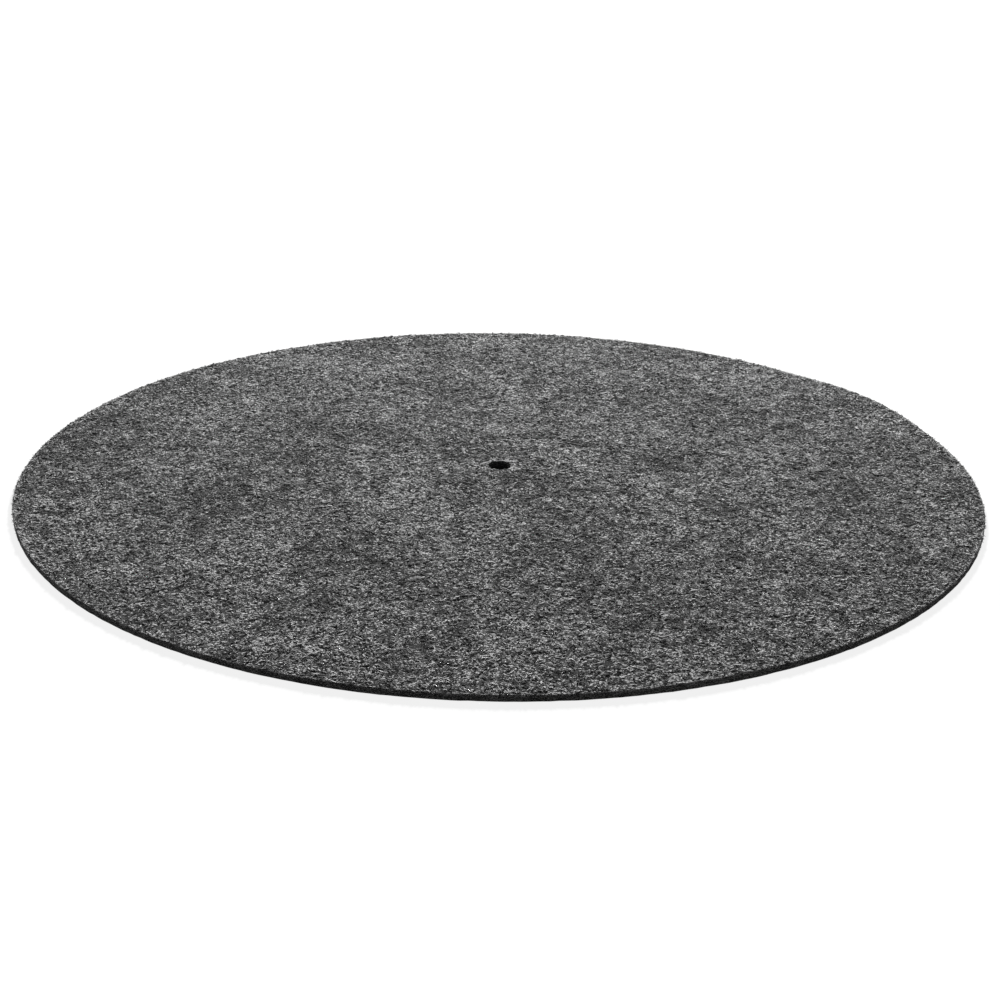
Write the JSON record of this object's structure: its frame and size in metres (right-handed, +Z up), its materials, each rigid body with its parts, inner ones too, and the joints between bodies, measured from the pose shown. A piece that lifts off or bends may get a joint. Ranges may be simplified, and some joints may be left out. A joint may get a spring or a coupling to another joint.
{
  "type": "turntable platter mat",
  "caption": "Flat round mat of grey needle felt for a turntable platter, die-cut from sheet with a punched hole at its centre for the spindle.",
  "frame": {"origin": "on the axis of the spindle hole, at the underside that lies on the platter", "axes": "+Z up along the spindle, out of the face that carries the record; the mat is round, so X and Y point anywhere in its plane"},
  "size_m": [0.3, 0.3, 0.0018],
  "materials": {
    "grey_felt": "matt needle felt of tangled light and dark grey fibres, with a soft fuzz on its faces and cut edges"
  },
  "bodies": {
    "root": {"platter_mat": "grey_felt"}
  },
  "joints": []
}
